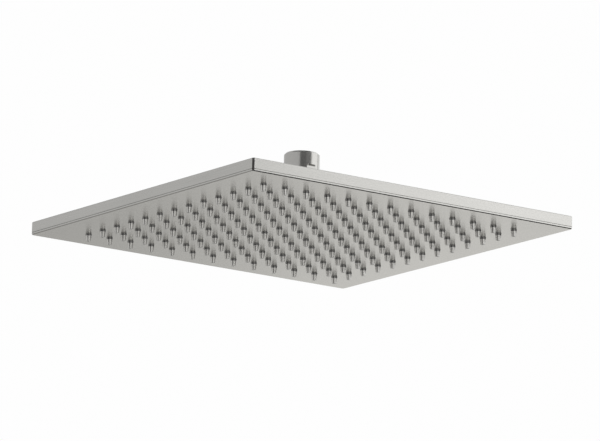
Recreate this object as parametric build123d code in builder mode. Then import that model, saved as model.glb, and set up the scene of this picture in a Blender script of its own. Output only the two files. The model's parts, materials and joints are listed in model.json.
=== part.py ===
"""Square rain shower head on a ball swivel.

A flat square box hangs from a ball joint. Its upper shell and its perforated face plate close a
shallow water chamber, and a silicone mat lies on the plate with one nozzle through every hole.
The inlet collar is turned in one piece with the neck and the ball. The hub on the shell and its
cap nut hold that ball between a seal and a friction ring, so the head turns and tilts on it.

Millimetres. The origin is the centre of the inlet's mouth, +Z points up along the inlet, and the
sides of the head lie along X and Y.
"""

import os
from math import atan2, cos, degrees, hypot, radians, sin, sqrt, tan

from build123d import *

# Head: the square box
HEAD_SIDE = 300.0
SHELL_HEIGHT = 8.2
SHELL_SHEET = 1.2
CORNER_CUT = 1.3  # along both sides, for the flat at each upright corner
SHELL_EDGE = 0.5  # chamfer round the top
FACE_THICKNESS = 2.0
FACE_EDGE = 0.6  # chamfer round the underside
SEAM_CHAMFER = 0.3  # round the plate's upper edge, under the shell
RIM_SEAL_WIDTH = 3.0
RIM_SEAL_HEIGHT = 2.0
RIM_SEAL_CLEARANCE = 0.2
POST_FLATS = 6.0
POST_PITCHES = 7  # of the nozzles between two posts, odd so that each stands amid four nozzles

# Nozzle field
NOZZLES_PER_SIDE = 13
FIELD_MARGIN = 32.4  # from the head's side to the outer row of nozzles
NOZZLE_LENGTH = 5.4  # below the face
NOZZLE_ROOT_RADIUS = 2.5  # level with the face
NOZZLE_TIP_RADIUS = 1.7
NOZZLE_SIDES = 6  # flats round each nozzle, few because the field repeats it 169 times
NOZZLE_CLEARANCE = 0.1
MAT_THICKNESS = 1.2
MAT_CLEARANCE = 0.4

# Inlet collar with neck and ball
COLLAR_RADIUS = 13.9
COLLAR_TOP_CHAMFER = 1.4
COLLAR_FLOOR = 5.5
WRENCH_FLATS = 26.4
WRENCH_FLAT_HEIGHT = 8.0
THREAD_RADIUS = 9.32  # crest of a half-inch parallel pipe thread
THREAD_LENGTH = 10.0
RELIEF_RADIUS = 10.6  # run-out groove below the thread
NECK_RADIUS = 6.5
NECK_LENGTH = 10.3
WATERWAY_RADIUS = 4.5
BALL_RADIUS = 11.5

# Loose pieces in the inlet
WASHER_RADIUS = 9.2
WASHER_BORE_RADIUS = 6.0
WASHER_THICKNESS = 2.2
WASHER_HEADROOM = 0.2
SCREEN_RADIUS = 9.0
SCREEN_THICKNESS = 0.6
SCREEN_MESH = 2.4
SCREEN_PITCH = 3.2

# Ball joint
RING_THICKNESS = 1.1  # of the seal and the friction ring
RING_WIDTH = 3.2
RING_CLEARANCE = 0.1  # to the ball inside and to the seats outside, at any tilt
FRICTION_RING_ANGLE = 60.0  # degrees down from the top of the ball
BALL_SEAL_ANGLE = 120.0
CAP_MOUTH_RADIUS = 10.1
HUB_BORE_RADIUS = 8.2
HUB_WALL = 2.2
HUB_THREAD_LENGTH = 9.0  # down from the level of the ball's centre
HUB_FLANGE_OVERHANG = 1.5  # past the cap nut
HUB_FLANGE_THICKNESS = 3.5
CAP_WALL = 2.4
CAP_LIP = 1.2  # above its seat for the ring
CAP_EDGE = 1.6
CAP_GAP = 0.8  # between its skirt and the hub's flange
JOINT_CLEARANCE = 0.1  # in the hub's two screw threads
SHOULDER_GAP = 0.3  # over the hub's rim

# Hub through the shell
SPIGOT_WALL = 3.2
SPIGOT_CLEARANCE = 0.25
SPIGOT_PROUD = 0.3
GASKET_THICKNESS = 1.0
GASKET_INSET = 1.0  # from the edge of the flange
LOCK_NUT_FLATS = 30.0
LOCK_NUT_THICKNESS = 2.5

# Levels, from the inlet's mouth down to the tips of the nozzles
thread_end_z = -THREAD_LENGTH
collar_floor_z = thread_end_z - WASHER_HEADROOM - WASHER_THICKNESS - SCREEN_THICKNESS
collar_bottom_z = collar_floor_z - COLLAR_FLOOR
ball_z = collar_bottom_z - NECK_LENGTH - sqrt(BALL_RADIUS**2 - NECK_RADIUS**2)
flange_top_z = ball_z - HUB_THREAD_LENGTH
flange_bottom_z = flange_top_z - HUB_FLANGE_THICKNESS
shell_top_z = flange_bottom_z - GASKET_THICKNESS
roof_z = shell_top_z - SHELL_SHEET
lock_nut_z = roof_z - LOCK_NUT_THICKNESS
spigot_end_z = lock_nut_z - SPIGOT_PROUD
seam_z = shell_top_z - SHELL_HEIGHT
face_z = seam_z - FACE_THICKNESS

# Radii and widths that follow from the fits
ring_inner_radius = BALL_RADIUS + RING_CLEARANCE
ring_reach = hypot(ring_inner_radius + RING_THICKNESS, RING_WIDTH / 2)
cup_radius = ring_reach + RING_CLEARANCE
hub_thread_radius = cup_radius + HUB_WALL
cap_thread_radius = hub_thread_radius + JOINT_CLEARANCE
cap_radius = cap_thread_radius + CAP_WALL
flange_radius = cap_radius + HUB_FLANGE_OVERHANG
spigot_radius = HUB_BORE_RADIUS + SPIGOT_WALL
spigot_hole_radius = spigot_radius + SPIGOT_CLEARANCE
chamber_side = HEAD_SIDE - 2 * SHELL_SHEET
seal_side = chamber_side - 2 * RIM_SEAL_CLEARANCE
mat_side = seal_side - 2 * (RIM_SEAL_WIDTH + MAT_CLEARANCE)
nozzle_pitch = (HEAD_SIDE - 2 * FIELD_MARGIN) / (NOZZLES_PER_SIDE - 1)
post_spacing = POST_PITCHES * nozzle_pitch
flat_centre_y = (WRENCH_FLATS + COLLAR_RADIUS) / 2
nozzle_taper = (NOZZLE_ROOT_RADIUS - NOZZLE_TIP_RADIUS) / NOZZLE_LENGTH
nozzle_taper_angle = degrees(atan2(nozzle_taper, 1))
nozzle_top_radius = NOZZLE_ROOT_RADIUS + nozzle_taper * FACE_THICKNESS


def on_ball(radius, angle):
    """Point of the XZ half-plane at that radius from the ball's centre and angle from its top."""
    return radius * sin(radians(angle)), ball_z + radius * cos(radians(angle))


def flat_ring(outer_radius, inner_radius, bottom_z, thickness):
    """Plain flat washer on the inlet's axis."""
    with BuildPart() as ring:
        with BuildSketch(Plane.XY.offset(bottom_z)):
            Circle(outer_radius)
            Circle(inner_radius, mode=Mode.SUBTRACT)
        extrude(amount=thickness)
    return ring


def ball_ring(angle):
    """Ring of rectangular section that lies against the ball at that angle from its top."""
    with BuildPart() as ring:
        with BuildSketch(Plane.XZ):
            with Locations(on_ball(ring_inner_radius + RING_THICKNESS / 2, angle)):
                Rectangle(RING_THICKNESS, RING_WIDTH, rotation=90 - angle)
        revolve(axis=Axis.Z)
    return ring


def seat_cone(angle, mouth_radius):
    """Ends of the conical seat behind such a ring: on the wall round the ball and at the mouth."""
    wall_z = ball_z + cup_radius * tan(radians(90 - angle) / 2)
    mouth_z = wall_z + (cup_radius - mouth_radius) * tan(radians(angle))
    return (cup_radius, wall_z), (mouth_radius, mouth_z)


def nozzle_blank(clearance, length):
    """Tapered plug down from the seam: a nozzle or, with a clearance, the hole for one."""
    with BuildPart() as blank:
        with BuildSketch(Plane.XY.offset(seam_z)):
            RegularPolygon(nozzle_top_radius + clearance, NOZZLE_SIDES)
        extrude(amount=-length)
        sides = blank.faces().filter_by(Axis.Z, reverse=True)
        draft(sides, Plane.XY.offset(seam_z), -nozzle_taper_angle)
    return blank


# Inlet collar, neck and ball, turned in one piece with the waterway through it
ball_bottom_angle = 180 - degrees(atan2(WATERWAY_RADIUS, sqrt(BALL_RADIUS**2 - WATERWAY_RADIUS**2)))
with BuildPart() as ball_stem:
    with BuildSketch(Plane.XZ):
        with BuildLine():
            ball_arc = ThreePointArc(
                (NECK_RADIUS, collar_bottom_z - NECK_LENGTH),
                (BALL_RADIUS, ball_z),
                on_ball(BALL_RADIUS, ball_bottom_angle),
            )
            Polyline(
                ball_arc @ 0,
                (NECK_RADIUS, collar_bottom_z),
                (COLLAR_RADIUS, collar_bottom_z),
                (COLLAR_RADIUS, -COLLAR_TOP_CHAMFER),
                (COLLAR_RADIUS - COLLAR_TOP_CHAMFER, 0),
                (THREAD_RADIUS, 0),
                (THREAD_RADIUS, thread_end_z),
                (RELIEF_RADIUS, thread_end_z),
                (RELIEF_RADIUS, collar_floor_z),
                (WATERWAY_RADIUS, collar_floor_z),
                ball_arc @ 1,
            )
        make_face()
    revolve(axis=Axis.Z)
    with BuildSketch(Plane.XY.offset(collar_bottom_z)):
        with Locations((0, flat_centre_y), (0, -flat_centre_y)):
            Rectangle(2 * COLLAR_RADIUS, COLLAR_RADIUS)
    extrude(amount=WRENCH_FLAT_HEIGHT, mode=Mode.SUBTRACT)

# Strainer on the collar's floor, with a rubber washer on it for the end of the pipe
with BuildPart() as filter_screen:
    with BuildSketch(Plane.XY.offset(collar_floor_z)):
        Circle(SCREEN_RADIUS)
        with GridLocations(SCREEN_PITCH, SCREEN_PITCH, 3, 3):
            Rectangle(SCREEN_MESH, SCREEN_MESH, mode=Mode.SUBTRACT)
    extrude(amount=SCREEN_THICKNESS)

inlet_washer = flat_ring(
    WASHER_RADIUS, WASHER_BORE_RADIUS, collar_floor_z + SCREEN_THICKNESS, WASHER_THICKNESS
)

# The two rings that the ball turns in
friction_ring = ball_ring(FRICTION_RING_ANGLE)
ball_seal = ball_ring(BALL_SEAL_ANGLE)

# Hub: a seat under the ball, a threaded rim, a flange on the shell and a spigot through it
seal_seat_wall, seal_seat_mouth = seat_cone(BALL_SEAL_ANGLE, HUB_BORE_RADIUS)
with BuildPart() as hub:
    with BuildSketch(Plane.XZ):
        with BuildLine():
            Polyline(
                (cup_radius, ball_z),
                seal_seat_wall,
                seal_seat_mouth,
                (HUB_BORE_RADIUS, spigot_end_z),
                (spigot_radius, spigot_end_z),
                (spigot_radius, flange_bottom_z),
                (flange_radius, flange_bottom_z),
                (flange_radius, flange_top_z),
                (hub_thread_radius, flange_top_z),
                (hub_thread_radius, ball_z),
                close=True,
            )
        make_face()
    revolve(axis=Axis.Z)

# Cap nut: screwed on the hub, it closes over the ball with a lip that leaves the neck room
ring_seat_wall, ring_seat_mouth = seat_cone(FRICTION_RING_ANGLE, CAP_MOUTH_RADIUS)
shoulder_z = ball_z + SHOULDER_GAP
cap_skirt_z = flange_top_z + CAP_GAP
cap_top_z = ring_seat_mouth[1] + CAP_LIP
with BuildPart() as cap_nut:
    with BuildSketch(Plane.XZ):
        with BuildLine():
            Polyline(
                ring_seat_wall,
                (cup_radius, shoulder_z),
                (cap_thread_radius, shoulder_z),
                (cap_thread_radius, cap_skirt_z),
                (cap_radius, cap_skirt_z),
                (cap_radius, cap_top_z - CAP_EDGE),
                (cap_radius - CAP_EDGE, cap_top_z),
                (CAP_MOUTH_RADIUS, cap_top_z),
                ring_seat_mouth,
                close=True,
            )
        make_face()
    revolve(axis=Axis.Z)

# What clamps the hub to the shell: a gasket above the roof and a lock nut under it
hub_gasket = flat_ring(
    flange_radius - GASKET_INSET, spigot_hole_radius, shell_top_z, GASKET_THICKNESS
)
with BuildPart() as lock_nut:
    with BuildSketch(Plane.XY.offset(lock_nut_z)):
        RegularPolygon(LOCK_NUT_FLATS / 2, 6, major_radius=False)
        Circle(spigot_radius + JOINT_CLEARANCE, mode=Mode.SUBTRACT)
    extrude(amount=LOCK_NUT_THICKNESS)

# Upper shell: a folded tray, open below, with its corners ground flat and the spigot's hole in its roof
with BuildPart() as upper_shell:
    with BuildSketch(Plane.XY.offset(seam_z)) as shell_outline:
        Rectangle(HEAD_SIDE, HEAD_SIDE)
        chamfer(shell_outline.vertices(), CORNER_CUT)
    extrude(amount=SHELL_HEIGHT)
    chamfer(upper_shell.edges().group_by(Axis.Z)[-1], SHELL_EDGE)
    with BuildSketch(Plane.XY.offset(seam_z)):
        Rectangle(chamber_side, chamber_side)
    extrude(amount=SHELL_HEIGHT - SHELL_SHEET, mode=Mode.SUBTRACT)
    with BuildSketch(Plane.XY.offset(roof_z)):
        Circle(spigot_hole_radius)
    extrude(amount=SHELL_SHEET, mode=Mode.SUBTRACT)

# Face plate: perforated sheet whose tapered holes match the nozzles
with BuildPart() as face_plate:
    with BuildSketch(Plane.XY.offset(face_z)) as plate_outline:
        Rectangle(HEAD_SIDE, HEAD_SIDE)
        chamfer(plate_outline.vertices(), CORNER_CUT)
    extrude(amount=FACE_THICKNESS)
    outer_edges = face_plate.edges().group_by(Axis.Z)
    chamfer(outer_edges[-1], SEAM_CHAMFER)
    chamfer(outer_edges[0], FACE_EDGE)
    nozzle_hole = nozzle_blank(NOZZLE_CLEARANCE, FACE_THICKNESS)
    with GridLocations(nozzle_pitch, nozzle_pitch, NOZZLES_PER_SIDE, NOZZLES_PER_SIDE):
        add(nozzle_hole.part, mode=Mode.SUBTRACT)

# Nozzle mat: one silicone moulding on the plate, with holes for the posts
with BuildPart() as nozzle_mat:
    with BuildSketch(Plane.XY.offset(seam_z)):
        Rectangle(mat_side, mat_side)
        with GridLocations(post_spacing, post_spacing, 2, 2):
            RegularPolygon(POST_FLATS / 2 + MAT_CLEARANCE, 6, major_radius=False, mode=Mode.SUBTRACT)
    extrude(amount=MAT_THICKNESS)
    nozzle = nozzle_blank(0, FACE_THICKNESS + NOZZLE_LENGTH)
    with GridLocations(nozzle_pitch, nozzle_pitch, NOZZLES_PER_SIDE, NOZZLES_PER_SIDE):
        add(nozzle.part)

# Rim seal in the corner between the plate and the shell's walls
with BuildPart() as rim_seal:
    with BuildSketch(Plane.XY.offset(seam_z)):
        Rectangle(seal_side, seal_side)
        Rectangle(
            seal_side - 2 * RIM_SEAL_WIDTH, seal_side - 2 * RIM_SEAL_WIDTH, mode=Mode.SUBTRACT
        )
    extrude(amount=RIM_SEAL_HEIGHT)

# Tie posts: hexagonal standoffs that keep the plate and the roof from bulging apart
with BuildPart() as tie_posts:
    with BuildSketch(Plane.XY.offset(seam_z)):
        with GridLocations(post_spacing, post_spacing, 2, 2):
            RegularPolygon(POST_FLATS / 2, 6, major_radius=False)
    extrude(amount=roof_z - seam_z)

pieces = {
    "ball_stem": ball_stem,
    "inlet_washer": inlet_washer,
    "filter_screen": filter_screen,
    "friction_ring": friction_ring,
    "ball_seal": ball_seal,
    "cap_nut": cap_nut,
    "hub": hub,
    "hub_gasket": hub_gasket,
    "lock_nut": lock_nut,
    "upper_shell": upper_shell,
    "face_plate": face_plate,
    "nozzle_mat": nozzle_mat,
    "rim_seal": rim_seal,
    "tie_posts": tie_posts,
}
os.makedirs("parts", exist_ok=True)
for name, piece in pieces.items():
    piece.part.label = name
    export_step(piece.part, f"parts/{name}.step")
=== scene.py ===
"""Looks of the square rain shower head: finishes, round nozzles, inlet thread, studio and camera.

Metres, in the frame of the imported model: the origin is the centre of the inlet's mouth and +Z is up.
"""

import json
import math

import bpy
from mathutils import Matrix, Vector
from mathutils.geometry import tessellate_polygon


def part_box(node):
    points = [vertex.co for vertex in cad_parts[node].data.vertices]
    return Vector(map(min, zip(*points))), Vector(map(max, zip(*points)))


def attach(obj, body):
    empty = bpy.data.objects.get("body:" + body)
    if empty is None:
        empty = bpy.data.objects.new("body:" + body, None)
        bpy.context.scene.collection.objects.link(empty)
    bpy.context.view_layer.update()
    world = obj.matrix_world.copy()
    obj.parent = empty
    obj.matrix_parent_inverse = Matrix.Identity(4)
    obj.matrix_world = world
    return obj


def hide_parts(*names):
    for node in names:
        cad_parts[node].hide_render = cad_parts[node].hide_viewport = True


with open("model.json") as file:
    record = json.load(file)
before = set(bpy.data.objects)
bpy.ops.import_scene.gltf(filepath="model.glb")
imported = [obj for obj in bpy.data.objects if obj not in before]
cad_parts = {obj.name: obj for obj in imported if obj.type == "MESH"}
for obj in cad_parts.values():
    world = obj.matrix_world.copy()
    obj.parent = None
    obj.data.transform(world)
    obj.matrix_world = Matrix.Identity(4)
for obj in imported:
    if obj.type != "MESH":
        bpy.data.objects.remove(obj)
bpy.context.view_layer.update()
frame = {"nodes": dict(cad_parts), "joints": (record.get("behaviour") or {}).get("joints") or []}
MM = 0.001

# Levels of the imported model

face_low, face_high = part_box("face_plate")
mat_low, mat_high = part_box("nozzle_mat")
face_z = face_low.z
plate_top_z = face_high.z
tip_z = mat_low.z


class Socket:
    """Output of a shader node. Python's operators on it add Math nodes."""

    def __init__(self, paint, output):
        self.paint = paint
        self.output = output

    def maths(self, operation, *values):
        sockets = dict(enumerate(values))
        return self.paint.node("ShaderNodeMath", {"operation": operation}, sockets)

    def __add__(self, other):
        return self.maths("ADD", self, other)

    def __radd__(self, other):
        return self.maths("ADD", other, self)

    def __sub__(self, other):
        return self.maths("SUBTRACT", self, other)

    def __rsub__(self, other):
        return self.maths("SUBTRACT", other, self)

    def __mul__(self, other):
        return self.maths("MULTIPLY", self, other)

    def __rmul__(self, other):
        return self.maths("MULTIPLY", other, self)

    def __gt__(self, other):
        return self.maths("GREATER_THAN", self, other)

    def __abs__(self):
        return self.maths("ABSOLUTE", self)

    def part(self, name):
        """Another output of the same node."""
        return Socket(self.paint, self.output.node.outputs[name])


class Paint:
    """Node tree of a material or of the world."""

    def __init__(self, tree):
        self.tree = tree
        tree.nodes.clear()

    def node(self, kind, settings=(), sockets=()):
        """Adds a node: its settings first, then the values or links of its sockets."""
        node = self.tree.nodes.new(kind)
        for name, value in dict(settings).items():
            if name == "stops":
                self.set_stops(node.color_ramp, value)
            else:
                setattr(node, name, value)
        for name, value in dict(sockets).items():
            if isinstance(value, Socket):
                self.tree.links.new(value.output, node.inputs[name])
            else:
                node.inputs[name].default_value = value
        return Socket(self, node.outputs[0]) if node.outputs else None

    def set_stops(self, ramp, stops):
        """Grey stops of a ramp, each a place and a value."""
        while len(ramp.elements) < len(stops):
            ramp.elements.new(1)
        for element, (place, grey) in zip(ramp.elements, stops):
            element.position = place
            element.color = (grey, grey, grey, 1)

    def split(self, vector):
        axes = self.node("ShaderNodeSeparateXYZ", sockets={"Vector": vector})
        return axes.part("X"), axes.part("Y"), axes.part("Z")

    def place(self):
        """Object-space position as three sockets."""
        return self.split(self.node("ShaderNodeTexCoord").part("Object"))

    def facing(self):
        """Object-space normal as three sockets."""
        return self.split(self.node("ShaderNodeTexCoord").part("Normal"))

    def noise(self, x, y, z):
        """Noise of 0 to 1 at a place given by three sockets or numbers, already scaled."""
        place = self.node("ShaderNodeCombineXYZ", sockets={"X": x, "Y": y, "Z": z})
        return self.node(
            "ShaderNodeTexNoise",
            sockets={"Vector": place, "Scale": 1.0, "Detail": NOISE_DETAIL},
        )

    def clouds(self, place, cells):
        """Noise with the same number of cells a metre along all three axes."""
        return self.noise(*[axis * cells for axis in place])

    def shade(self, colour, tone):
        """Colour darkened or lightened by a socket around 1."""
        channels = {"Red": tone, "Green": tone, "Blue": tone}
        grey = self.node("ShaderNodeCombineColor", sockets=channels)
        return self.node(
            "ShaderNodeMix",
            {"data_type": "RGBA", "blend_type": "MULTIPLY"},
            {"Factor": 1.0, 6: (*colour, 1), 7: grey},
        ).part(2)

    def bump(self, height, distance, strength):
        sockets = {"Height": height, "Distance": distance, "Strength": strength}
        return self.node("ShaderNodeBump", sockets=sockets)

    def surface(self, **sockets):
        """Principled surface; names of sockets with spaces are written with underscores."""
        named = {name.replace("_", " "): value for name, value in sockets.items()}
        shader = self.node("ShaderNodeBsdfPrincipled", sockets=named)
        self.node("ShaderNodeOutputMaterial", sockets={"Surface": shader})


def material(name):
    finish = bpy.data.materials.new(name)
    finish.use_nodes = True
    return finish, Paint(finish.node_tree)


# Finishes

NICKEL = (0.66, 0.653, 0.628)
SILVER_PIGMENT = (0.72, 0.713, 0.697)
PAPER = (0.8, 0.8, 0.8)

# Noise: cells a metre, along and across the marks of a tool where there are two numbers
NOISE_DETAIL = 2.0
BRUSH_LINES = (25, 7000)
BRUSH_BANDS = (10, 600)
BAND_SLICE = 3  # height in the noise, so that the bands don't repeat the lines
SHEET_CLOUDS = 14
TURNED_RINGS = (30, 6000)
TURNED_CLOUDS = 60
BARE_GRAIN = (900, 5000)
MOULDED_SKIN = 2500
MOULDED_CLOUDS = 150
PAPER_CLOUDS = 3
MOTTLE = 0.12
BRUSH_DEPTH = 0.01 * MM
SKIN_DEPTH = 0.02 * MM

# Parts of a surface, told by the normal
LYING = 0.5  # along Z: more on the roof and the face, less on the sides
SLANTED = 0.2  # downward: more on a slant that faces down
LEVEL = 0.9  # downward: more on a level underside
CORNER_FLAT = 1.2  # sum of the three parts: more only on the ground corners

SEAM_LINE = 0.15 * MM  # half the height of the dark line between shell and plate
# Painted shadow at the root of each nozzle: its depth, the share of silver over it and its tone
ROOT_SHADOW_DEPTH = 1.35 * MM  # dark part of a nozzle, below the face
ROOT_SHADOW_STOPS = [(0.0, 0.5), (0.3, 0.0), (0.7, 0.0), (1.0, 1.0)]  # share of silver over that depth
ROOT_SHADOW_TONE = 0.03


def brushed_nickel():
    """Satin nickel sheet, brushed along X on roof and face and along each side."""
    finish, paint = material("brushed_nickel")
    x, y, z = paint.place()
    facing_x, facing_y, facing_z = [abs(axis) for axis in paint.facing()]
    flat = facing_z > LYING
    # Chamfered corners: smoother, and darkened in colour as painted shade
    smoothed_and_shaded_bevel = (facing_x + facing_y + facing_z) > CORNER_FLAT
    seam = (SEAM_LINE - abs(z - plate_top_z)) > 0
    along = x + y * (1 - flat)
    across = z + (y - z) * flat
    lines = paint.noise(along * BRUSH_LINES[0], across * BRUSH_LINES[1], 0)
    bands = paint.noise(along * BRUSH_BANDS[0], across * BRUSH_BANDS[1], BAND_SLICE)
    clouds = paint.clouds((x, y, z), SHEET_CLOUDS)
    tone = 0.84 + 0.08 * lines + 0.16 * bands + 0.06 * clouds
    # Painted shade on the chamfers; the seam's dark line is a joint
    dark = (1 - 0.1 * seam) * (1 - 0.35 * smoothed_and_shaded_bevel)
    paint.surface(
        Base_Color=paint.shade(NICKEL, tone * dark),
        Metallic=1.0,
        Roughness=(0.17 + 0.10 * lines + 0.05 * bands) * (1 - 0.5 * smoothed_and_shaded_bevel),
        Normal=paint.bump(lines, BRUSH_DEPTH, 0.25),
    )
    return finish


def turned_nickel():
    """Satin nickel on a turned piece, with fine rings round its axis.

    Slants that face down are darker in colour: painted shade.
    """
    finish, paint = material("turned_nickel")
    x, y, z = paint.place()
    down = 0 - paint.facing()[2]
    # Painted shade on slants that face down
    painted_underslant_shade = (down > SLANTED) - (down > LEVEL)
    rings = paint.noise(x * TURNED_RINGS[0], y * TURNED_RINGS[0], z * TURNED_RINGS[1])
    clouds = paint.clouds((x, y, z), TURNED_CLOUDS)
    tone = 0.86 + 0.06 * rings + 0.03 * clouds
    paint.surface(
        Base_Color=paint.shade(NICKEL, tone * (1 - 0.65 * painted_underslant_shade)),
        Metallic=1.0,
        Roughness=0.14 + 0.10 * rings + 0.05 * clouds,
        Normal=paint.bump(rings, BRUSH_DEPTH, 0.2),
    )
    return finish


def bare_metal(name, colour, roughness):
    """Bare turned or pressed metal of a hidden piece."""
    finish, paint = material(name)
    x, y, z = paint.place()
    grain = paint.noise(x * BARE_GRAIN[0], y * BARE_GRAIN[0], z * BARE_GRAIN[1])
    paint.surface(
        Base_Color=paint.shade(colour, 0.9 + 0.2 * grain),
        Metallic=1.0,
        Roughness=roughness + 0.15 * grain,
    )
    return finish


def moulding(name, colour, roughness):
    """Rubber or plastic with the slight mottle of a moulded skin."""
    finish, paint = material(name)
    place = paint.place()
    skin = paint.clouds(place, MOULDED_SKIN)
    clouds = paint.clouds(place, MOULDED_CLOUDS)
    paint.surface(
        Base_Color=paint.shade(colour, 1 - MOTTLE / 2 + MOTTLE * clouds),
        Roughness=roughness + 0.1 * skin,
        Normal=paint.bump(skin, SKIN_DEPTH, 0.15),
    )
    return finish


def silver_silicone():
    """Silicone with a silver pigment, with painted shadow where each nozzle leaves the plate, and
    darker on its end face.
    """
    finish, paint = material("grey_silicone")
    place = paint.place()
    skin = paint.clouds(place, MOULDED_SKIN)
    clouds = paint.clouds(place, MOULDED_CLOUDS)
    depth = (face_z - place[2]) * (1 / ROOT_SHADOW_DEPTH)
    # Painted shadow: a dark band round each nozzle just below the face
    body = paint.node("ShaderNodeValToRGB", {"stops": ROOT_SHADOW_STOPS}, {"Fac": depth})
    # The end face of each nozzle is darker in colour
    tip_end = (0 - paint.facing()[2]) > LEVEL
    tone = (0.92 + 0.1 * clouds) * (1 - 0.3 * tip_end)
    paint.surface(
        Base_Color=paint.shade(SILVER_PIGMENT, ROOT_SHADOW_TONE + body * tone),
        Metallic=0.92,
        Roughness=0.17 + 0.08 * skin,
        Coat_Weight=1 - body,
        Coat_Roughness=0.15,
        Coat_IOR=2.3,
        Normal=paint.bump(skin, SKIN_DEPTH, 0.1),
    )
    return finish


sheet_finish = brushed_nickel()
turned_finish = turned_nickel()
rubber_finish = moulding("black_rubber", (0.03, 0.03, 0.03), roughness=0.6)
acetal_finish = moulding("white_acetal", (0.8, 0.8, 0.77), roughness=0.35)
silicone_finish = silver_silicone()
brass_finish = bare_metal("plain_brass", (0.75, 0.55, 0.25), roughness=0.25)
steel_finish = bare_metal("bare_steel", (0.6, 0.59, 0.57), roughness=0.3)

node_finishes = {
    "upper_shell": sheet_finish,
    "face_plate": sheet_finish,
    "cap_nut": turned_finish,
    "hub": turned_finish,
    "lock_nut": brass_finish,
    "filter_screen": steel_finish,
    "tie_posts": steel_finish,
    "friction_ring": acetal_finish,
    "ball_seal": rubber_finish,
    "inlet_washer": rubber_finish,
    "hub_gasket": rubber_finish,
    "rim_seal": rubber_finish,
}
for name, finish in node_finishes.items():
    frame["nodes"][name].data.materials.clear()
    frame["nodes"][name].data.materials.append(finish)


# Pieces


def mesh_piece(name, vertices, faces, finish, sharp_angle=180):
    """Smooth-shaded object with edges kept sharp above that angle, in degrees."""
    mesh = bpy.data.meshes.new(name)
    mesh.from_pydata(vertices, [], faces)
    mesh.shade_smooth()
    mesh.set_sharp_from_angle(angle=math.radians(sharp_angle))
    mesh.materials.append(finish)
    piece = bpy.data.objects.new(name, mesh)
    bpy.context.scene.collection.objects.link(piece)
    return piece


def revolved(rows, segments):
    """Vertices and faces of a closed ring: rows of (radius, z) go down its bore and up its outside.

    A radius may be a function of the angle and the height, for flats and threads.
    """
    vertices = []
    for radius, z in rows:
        for step in range(segments):
            angle = 2 * math.pi * step / segments
            reach = radius(angle, z) if callable(radius) else radius
            vertices.append((reach * math.cos(angle), reach * math.sin(angle), z))
    faces = []
    for row in range(len(rows)):
        here = row * segments
        following = (row + 1) % len(rows) * segments
        for step in range(segments):
            turn = (step + 1) % segments
            faces.append((here + step, here + turn, following + turn, following + step))
    return vertices, faces


# Nozzles: round silicone nipples, each with a thin lip on the face and a bored tip

NOZZLES_PER_SIDE = 13
FIELD_MARGIN = 32.4 * MM
NOZZLE_SEGMENTS = 24
NOZZLE_SHARP_ANGLE = 35
BORE_RADIUS = 0.6 * MM
BORE_DEPTH = 2.0 * MM
BORE_INLET_RADIUS = 0.9 * MM
MOUTH_RADIUS = 0.66 * MM
MOUTH_CHAMFER = 0.08 * MM
TIP_ROUNDING = [(1.58, 0.0), (1.66, 0.03), (1.7, 0.1), (1.72, 0.25)]  # radius and height in mm
ROOT_FLARE = [(2.24, 1.1), (2.34, 0.55), (2.44, 0.12)]  # radius and depth below the face in mm
LIP_RADIUS = 2.65 * MM
LIP_DEPTH = 0.07 * MM
LIP_GAP = 0.02 * MM  # between the lip and the face
SHANK_RADIUS = 2.0 * MM
POST_PITCHES = 7  # of the nozzles between two tie posts
POST_SIDES = 6
POST_HOLE_FLATS = 6.8 * MM
nozzle_pitch = (face_high.x - face_low.x - 2 * FIELD_MARGIN) / (NOZZLES_PER_SIDE - 1)


def nozzle_rows():
    """Section of a nozzle: down its bore, round its tip and up to the mat."""
    return [
        (BORE_RADIUS, tip_z + BORE_DEPTH),
        (MOUTH_RADIUS, tip_z + MOUTH_CHAMFER),
        (MOUTH_RADIUS + MOUTH_CHAMFER, tip_z),
        *[(radius * MM, tip_z + height * MM) for radius, height in TIP_ROUNDING],
        *[(radius * MM, face_z - depth * MM) for radius, depth in ROOT_FLARE],
        (LIP_RADIUS, face_z - LIP_DEPTH),
        (LIP_RADIUS, face_z - LIP_GAP),
        (SHANK_RADIUS, face_z - LIP_GAP),
        (SHANK_RADIUS, plate_top_z),
        (BORE_INLET_RADIUS, plate_top_z),
    ]


def mat_sheet():
    """Vertices and faces of the mat's sheet, with a hexagonal hole for each tie post."""
    low, high = mat_low, mat_high
    loops = [[(low.x, low.y), (high.x, low.y), (high.x, high.y), (low.x, high.y)]]
    post = POST_PITCHES * nozzle_pitch / 2
    hole_radius = POST_HOLE_FLATS / 2 / math.cos(math.pi / POST_SIDES)
    turns = [-2 * math.pi * step / POST_SIDES for step in range(POST_SIDES)]
    hexagon = [(hole_radius * math.cos(turn), hole_radius * math.sin(turn)) for turn in turns]
    for x, y in ((-post, -post), (post, -post), (post, post), (-post, post)):
        loops.append([(x + corner_x, y + corner_y) for corner_x, corner_y in hexagon])
    corners = [corner for loop in loops for corner in loop]
    count = len(corners)
    vertices = [(x, y, z) for z in (plate_top_z, high.z) for x, y in corners]
    faces = []
    outlines = [[Vector((x, y, 0)) for x, y in loop] for loop in loops]
    for triangle in tessellate_polygon(outlines):
        a, b, c = [Vector(corners[index]) for index in triangle]
        upward = triangle if (b - a).cross(c - a) > 0 else triangle[::-1]
        faces.append(tuple(index + count for index in upward))
        faces.append(tuple(reversed(upward)))
    first = 0
    for loop in loops:
        for step in range(len(loop)):
            here = first + step
            following = first + (step + 1) % len(loop)
            faces.append((here, following, following + count, here + count))
        first += len(loop)
    return vertices, faces


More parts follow.
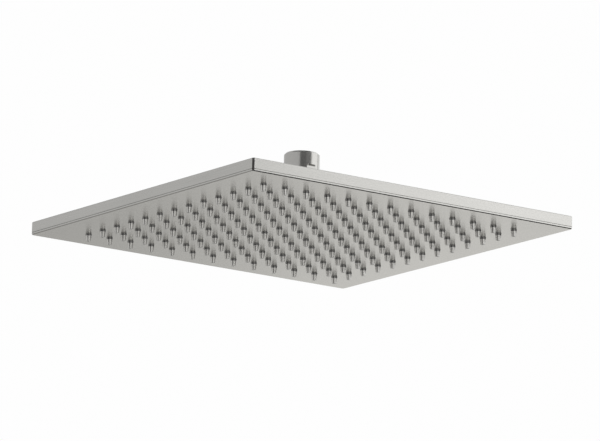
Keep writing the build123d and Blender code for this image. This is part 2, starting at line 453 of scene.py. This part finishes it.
def nozzle_field():
    """The mat's sheet with a nozzle at every place of the grid."""
    vertices, faces = mat_sheet()
    one_vertices, one_faces = revolved(nozzle_rows(), NOZZLE_SEGMENTS)
    first = -(NOZZLES_PER_SIDE - 1) / 2
    places = [(first + step) * nozzle_pitch for step in range(NOZZLES_PER_SIDE)]
    for place_x in places:
        for place_y in places:
            base = len(vertices)
            vertices += [(x + place_x, y + place_y, z) for x, y, z in one_vertices]
            faces += [tuple(base + corner for corner in face) for face in one_faces]
    return mesh_piece("nozzles", vertices, faces, silicone_finish, NOZZLE_SHARP_ANGLE)


nozzles = nozzle_field()
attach(nozzles, "head")
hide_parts("nozzle_mat")

# Inlet collar, neck and ball, with the pipe thread and the wrench flats

STEM_SEGMENTS = 120
STEM_SHARP_ANGLE = 14
COLLAR_RADIUS = 13.9 * MM
COLLAR_CHAMFER = 1.4 * MM
COLLAR_HEIGHT = 18.5 * MM
COLLAR_FLOOR_DEPTH = 13.0 * MM
WRENCH_FLATS = 26.4 * MM
WRENCH_FLAT_HEIGHT = 8.0 * MM
LEDGE_HEIGHT = 1.3 * MM  # slanted ledge over each flat
EDGE_ROW = 0.05 * MM  # keeps the shading of the ledge off the walls beside it
THREAD_CREST = 9.32 * MM
THREAD_DEPTH = 1.1 * MM
THREAD_PITCH = 1.814 * MM
THREAD_LENGTH = 10.0 * MM
THREAD_STEPS = 60
THREAD_ROOT = 0.2  # half the width of the flat root, in pitches
THREAD_FLANK = 1 / 6  # width of a flank, in pitches
RELIEF_RADIUS = 10.6 * MM
WATERWAY_RADIUS = 4.5 * MM
NECK_RADIUS = 6.5 * MM
NECK_FILLET = 0.8 * MM
NECK_FILLET_MIDDLE = 0.25 * MM  # off the neck and off the collar
BALL_RADIUS = 11.5 * MM
BALL_STEPS = 32
ball_z = frame["joints"][0]["pos_m"][2]


def thread_radius(angle, z):
    """Wall of the thread: flat crests and roots with slanted flanks, wound round the bore."""
    turn = (z / THREAD_PITCH + angle / (2 * math.pi)) % 1
    groove = (THREAD_ROOT + THREAD_FLANK - abs(turn - 0.5)) / THREAD_FLANK
    run_in = min(-z / THREAD_PITCH, 1)
    return THREAD_CREST + THREAD_DEPTH * min(max(groove, 0), 1) * run_in


def flats_radius(angle, z):
    """Wall of the collar with a wrench flat across Y on both sides, the same at every height."""
    to_flat = WRENCH_FLATS / 2
    return to_flat / max(abs(math.sin(angle)), to_flat / COLLAR_RADIUS)


def stem_rows():
    """Section of the stem: down the thread and the waterway, up the ball, the neck and the collar."""
    heights = [-THREAD_LENGTH * step / THREAD_STEPS for step in range(THREAD_STEPS + 1)]
    rows = [(thread_radius, height) for height in heights]
    rows += [
        (RELIEF_RADIUS, -THREAD_LENGTH),
        (RELIEF_RADIUS, -COLLAR_FLOOR_DEPTH),
        (WATERWAY_RADIUS, -COLLAR_FLOOR_DEPTH),
    ]
    start = math.pi - math.asin(WATERWAY_RADIUS / BALL_RADIUS)
    end = math.asin(NECK_RADIUS / BALL_RADIUS)
    for step in range(BALL_STEPS + 1):
        angle = start + (end - start) * step / BALL_STEPS
        rows.append((BALL_RADIUS * math.sin(angle), ball_z + BALL_RADIUS * math.cos(angle)))
    flats_top = -COLLAR_HEIGHT + WRENCH_FLAT_HEIGHT
    rows += [
        (NECK_RADIUS, -COLLAR_HEIGHT - NECK_FILLET),
        (NECK_RADIUS + NECK_FILLET_MIDDLE, -COLLAR_HEIGHT - NECK_FILLET_MIDDLE),
        (NECK_RADIUS + NECK_FILLET, -COLLAR_HEIGHT),
        (flats_radius, -COLLAR_HEIGHT),
        (flats_radius, flats_top - LEDGE_HEIGHT - EDGE_ROW),
        (flats_radius, flats_top - LEDGE_HEIGHT),
        (COLLAR_RADIUS, flats_top),
        (COLLAR_RADIUS, flats_top + EDGE_ROW),
        (COLLAR_RADIUS, -COLLAR_CHAMFER),
        (COLLAR_RADIUS - COLLAR_CHAMFER, 0),
    ]
    return rows


stem_mesh = revolved(stem_rows(), STEM_SEGMENTS)
stem = mesh_piece("inlet_collar", *stem_mesh, turned_finish, STEM_SHARP_ANGLE)
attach(stem, "inlet")
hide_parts("ball_stem")

# Studio: a pale floor, soft lamps, a white surround and cards that only reflections see

FLOOR_DROP = 1.6
FLOOR_REACH = 14.0
AMBIENT_STRENGTH = 0.6
BACKDROP_STRENGTH = 0.99
CARD_SEGMENTS = 24
SECTOR_DROP = 1.5
SECTOR_RINGS = (0.1, 1.5, 3.0, 9.0)
SECTOR_RIM = 0.4  # height of the rim, a little above the horizon
SECTOR_TINT = (1.0, 0.99, 0.963)
FLAG_REACH = 3.5
FLAG_HEIGHT = 6.0
CEILING_HEIGHT = 3.0
CEILING_REACHES = (0.4, 2.0)


def card_glow():
    """Emission with the strengths that each card carries on its corners."""
    finish, paint = material("card_glow")
    strength = paint.node("ShaderNodeAttribute", {"attribute_name": "glow"})
    glow = paint.node("ShaderNodeEmission", sockets={"Color": strength, "Strength": 1.0})
    paint.node("ShaderNodeOutputMaterial", sockets={"Surface": glow})
    return finish


glow_finish = card_glow()


def card(name, azimuths, section, tint=(1, 1, 1)):
    """Screen swept between two azimuths, in degrees from -Y towards +X.

    Its section is a row of (reach, height, strength).
    """
    vertices, strengths, faces = [], [], []
    rows = len(section)
    start, end = azimuths
    for step in range(CARD_SEGMENTS + 1):
        azimuth = math.radians(start + (end - start) * step / CARD_SEGMENTS)
        for reach, height, strength in section:
            vertices.append((reach * math.sin(azimuth), -reach * math.cos(azimuth), height))
            strengths.append(strength)
        if step:
            for row in range(rows - 1):
                corner = (step - 1) * rows + row
                faces.append((corner, corner + rows, corner + rows + 1, corner + 1))
    screen = mesh_piece(name, vertices, faces, glow_finish)
    glow = screen.data.color_attributes.new("glow", "FLOAT_COLOR", "POINT")
    for corner, strength in zip(glow.data, strengths):
        corner.color = (*[strength * part for part in tint], 1)
    screen.visible_camera = False
    screen.visible_diffuse = False
    screen.visible_shadow = False
    screen.visible_transmission = False


def sector(name, azimuths, *strengths):
    """Low screen round the object: strengths under it, at two rings round it and on its far rim."""
    section = [(reach, -SECTOR_DROP, strength) for reach, strength in zip(SECTOR_RINGS, strengths)]
    section.append((SECTOR_RINGS[-1], SECTOR_RIM, strengths[-1]))
    card(name, azimuths, section, SECTOR_TINT)


def flag(name, azimuths, strength, reach=FLAG_REACH, foot=0.0, top=FLAG_HEIGHT):
    """Upright screen of one strength, nearer the object."""
    card(name, azimuths, [(reach, foot, strength), (reach, top, strength)])


def pale_floor():
    """Sheet of pale paper under the object, clear from below."""
    finish, paint = material("pale_floor")
    x, y = paint.place()[:2]
    clouds = paint.noise(x * PAPER_CLOUDS, y * PAPER_CLOUDS, 0)
    colour = paint.shade(PAPER, 0.99 + 0.02 * clouds)
    paper = paint.node("ShaderNodeBsdfDiffuse", sockets={"Color": colour})
    clear = paint.node("ShaderNodeBsdfTransparent")
    underside = paint.node("ShaderNodeNewGeometry").part("Backfacing")
    mixed = paint.node("ShaderNodeMixShader", sockets={0: underside, 1: paper, 2: clear})
    paint.node("ShaderNodeOutputMaterial", sockets={"Surface": mixed})
    reach = FLOOR_REACH
    corners = [(-reach, -reach), (reach, -reach), (reach, reach), (-reach, reach)]
    vertices = [(x, y, -FLOOR_DROP) for x, y in corners]
    mesh_piece("floor", vertices, [(0, 1, 2, 3)], finish)


def surround():
    """World: white behind the object and in its reflections, plain grey as a light."""
    world = bpy.data.worlds.new("surround")
    world.use_nodes = True
    bpy.context.scene.world = world
    paint = Paint(world.node_tree)
    rays = paint.node("ShaderNodeLightPath")
    shown = rays + rays.part("Is Glossy Ray") + rays.part("Is Transmission Ray")
    strengths = (AMBIENT_STRENGTH, BACKDROP_STRENGTH)
    ambient, white = [
        paint.node("ShaderNodeBackground", sockets={"Color": (1, 1, 1, 1), "Strength": strength})
        for strength in strengths
    ]
    mixed = paint.node("ShaderNodeMixShader", sockets={0: shown, 1: ambient, 2: white})
    paint.node("ShaderNodeOutputWorld", sockets={"Surface": mixed})


def lamp(name, place, size, power):
    """Square soft lamp aimed at the head."""
    light = bpy.data.lights.new(name, "AREA")
    light.size = size
    light.energy = power
    holder = bpy.data.objects.new(name, light)
    holder.location = place
    aim = Vector((0, 0, face_z)) - holder.location
    holder.rotation_euler = aim.to_track_quat("-Z", "Y").to_euler()
    holder.visible_glossy = False
    bpy.context.scene.collection.objects.link(holder)


pale_floor()
surround()

# Mirrored by the sides, the corner, the collar and the nozzles
flag("camera_side_flag", (-47.5, -8), 0.135)
flag("camera_right_flag", (-8, 29.5), 0.2)
flag("right_screen", (29.5, 84), 1.22)
flag("right_gap", (84, 97), 0.66)
flag("left_screen", (-215, -47.5), 0.575)
flag("corner_flag", (-58, -44), 0.1, reach=0.51, foot=-0.05, top=0.045)
card("ceiling_flag", (90, 190), [(reach, CEILING_HEIGHT, 0.09) for reach in CEILING_REACHES])
flag("low_back_flag", (75, 118), 0.05, foot=-0.7, top=0.0)

# Mirrored by the face
sector("front", (-34, 30), 0.5, 0.65, 0.76, 0.88)
sector("right", (30, 95), 0.0, 0.03, 0.3, 0.32)
sector("back_right", (95, 144.8), 0.08, 0.2, 0.42, 1.03)
sector("back_middle", (144.8, 146.3), 0.3, 0.42, 0.42, 0.78)
sector("back_left", (146.3, 215), 0.45, 0.54, 0.44, 0.52)
sector("left", (-145, -88), 0.25, 0.32, 0.38, 0.76)
sector("front_left", (-88, -34), 0.2, 0.3, 0.37, 0.08)

lamp("key_lamp", (2.2, -2.4, 2.0), size=1.6, power=60)
lamp("fill_lamp", (-2.8, -1.2, 1.2), size=1.8, power=30)

# Camera: the photograph's view, from below and aimed at the middle of the face

VIEW_AZIMUTH = math.radians(-35.223)
VIEW_ELEVATION = math.radians(-12.439)
VIEW_ROLL = math.radians(1.497)
VIEW_DISTANCE = 4.9196
VIEW_RISE = 0.009019
VIEW_END = 100
IMAGE_WIDTH = 600
FOCAL_PIXELS = 6375.2
SENSOR = 36.0


def photo_camera():
    back = Vector(
        (
            math.sin(VIEW_AZIMUTH) * math.cos(VIEW_ELEVATION),
            -math.cos(VIEW_AZIMUTH) * math.cos(VIEW_ELEVATION),
            math.sin(VIEW_ELEVATION),
        )
    )
    level_right = (-back).cross(Vector((0, 0, 1))).normalized()
    level_up = level_right.cross(-back)
    right = level_right * math.cos(VIEW_ROLL) + level_up * math.sin(VIEW_ROLL)
    up = level_up * math.cos(VIEW_ROLL) - level_right * math.sin(VIEW_ROLL)
    lens = bpy.data.cameras.new("photo_camera")
    lens.sensor_fit = "HORIZONTAL"
    lens.sensor_width = SENSOR
    lens.lens = FOCAL_PIXELS / IMAGE_WIDTH * SENSOR
    lens.clip_end = VIEW_END
    camera = bpy.data.objects.new("photo_camera", lens)
    place = Vector((0, 0, face_z)) + back * VIEW_DISTANCE + up * VIEW_RISE
    turn = Matrix((right, up, back)).transposed().to_4x4()
    camera.matrix_world = Matrix.Translation(place) @ turn
    bpy.context.scene.collection.objects.link(camera)
    bpy.context.scene.camera = camera


photo_camera()
bpy.context.scene.view_settings.view_transform = "Standard"
